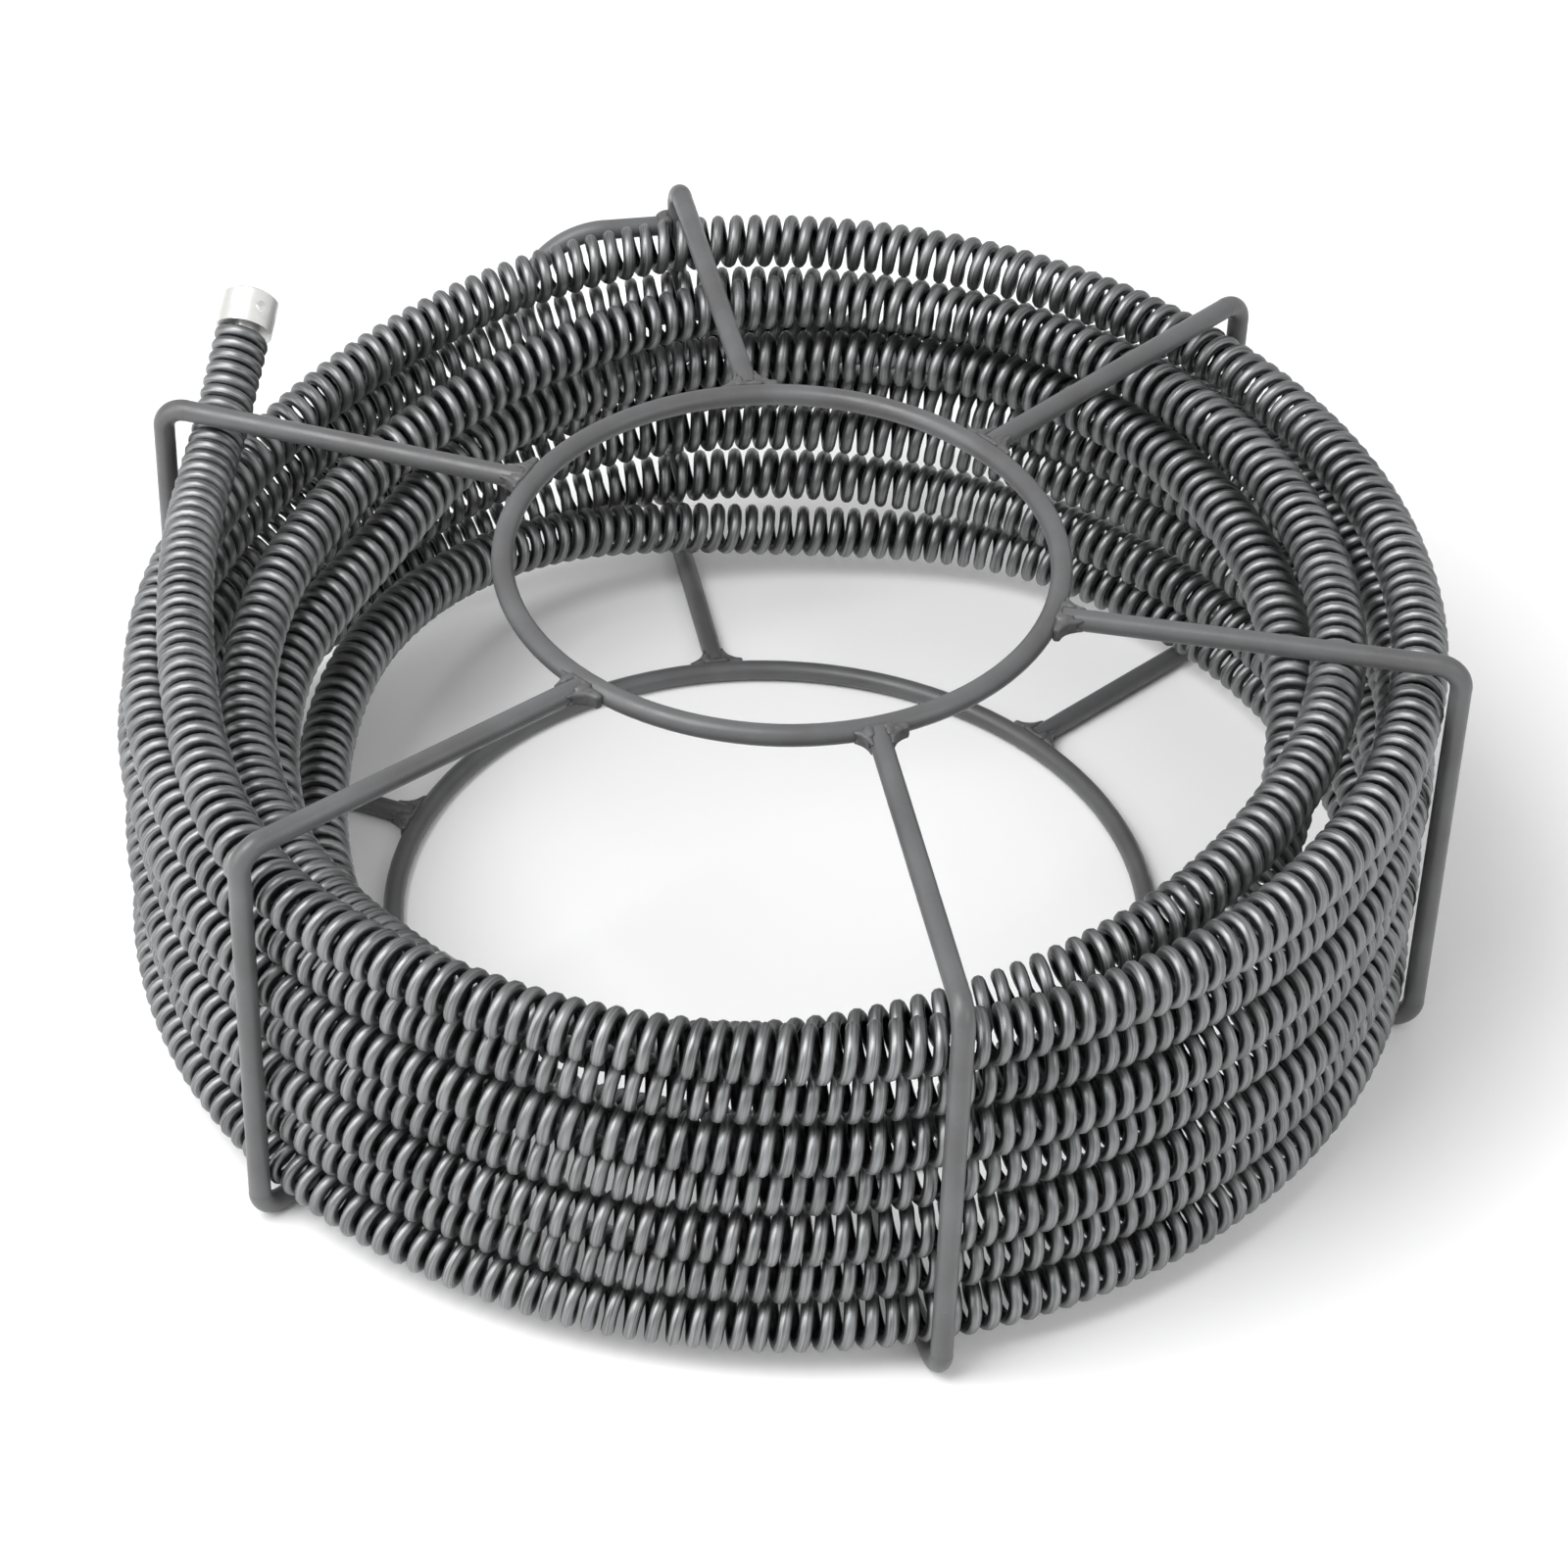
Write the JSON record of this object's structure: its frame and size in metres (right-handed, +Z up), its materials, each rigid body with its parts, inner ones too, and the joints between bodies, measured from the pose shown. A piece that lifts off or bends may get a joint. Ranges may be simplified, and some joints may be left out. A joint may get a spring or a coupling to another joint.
{
  "type": "drain auger cable in a carrier",
  "caption": "Sectional drain auger: a wound steel cable with T-slot and T-key couplings, coiled in a welded round-rod carrier.",
  "frame": {"origin": "floor level, on the carrier's centre line", "axes": "+Z up; +X to the right and +Y away from the viewer in the reference view; the free end of the cable leaves near azimuth 146 degrees"},
  "size_m": [0.3671, 0.3683, 0.1473],
  "materials": {
    "carrier_rod": "satin grey paint",
    "weld_metal": "satin grey paint over weld",
    "spring_wire": "drawn, oiled",
    "plated_steel": "zinc plated",
    "bright_steel": "bright"
  },
  "bodies": {
    "carrier": {"top_ring": "carrier_rod", "bottom_ring": "carrier_rod", "hoop_1": "carrier_rod", "hoop_2": "carrier_rod", "hoop_3": "carrier_rod", "hoop_4": "carrier_rod", "hoop_5": "carrier_rod", "hoop_6": "carrier_rod", "top_weld_1": "weld_metal", "top_weld_2": "weld_metal", "top_weld_3": "weld_metal", "top_weld_4": "weld_metal", "top_weld_5": "weld_metal", "top_weld_6": "weld_metal", "bottom_weld_1": "weld_metal", "bottom_weld_2": "weld_metal", "bottom_weld_3": "weld_metal", "bottom_weld_4": "weld_metal", "bottom_weld_5": "weld_metal", "bottom_weld_6": "weld_metal", "hanging_loop": "carrier_rod", "loop_weld_upper": "weld_metal", "loop_weld_lower": "weld_metal"},
    "cable_pack": {"cable": "spring_wire", "female_coupling": "plated_steel", "male_coupling": "plated_steel", "plunger_spring": "bright_steel"},
    "plunger": {"plunger": "bright_steel"}
  },
  "joints": [
    {"name": "pack_turn", "type": "hinge", "parent": "carrier", "child": "cable_pack", "pos_m": [0, 0, 0.0637], "axis": [0, 0, 1], "range_deg": [-38, 0]},
    {"name": "plunger_slide", "type": "slide", "parent": "cable_pack", "child": "plunger", "axis": [0, 0, 1], "range_m": [-0.002, 0], "stiffness_N_per_m": 600, "springref_m": 0.0015, "deforming": ["plunger_spring"]}
  ]
}
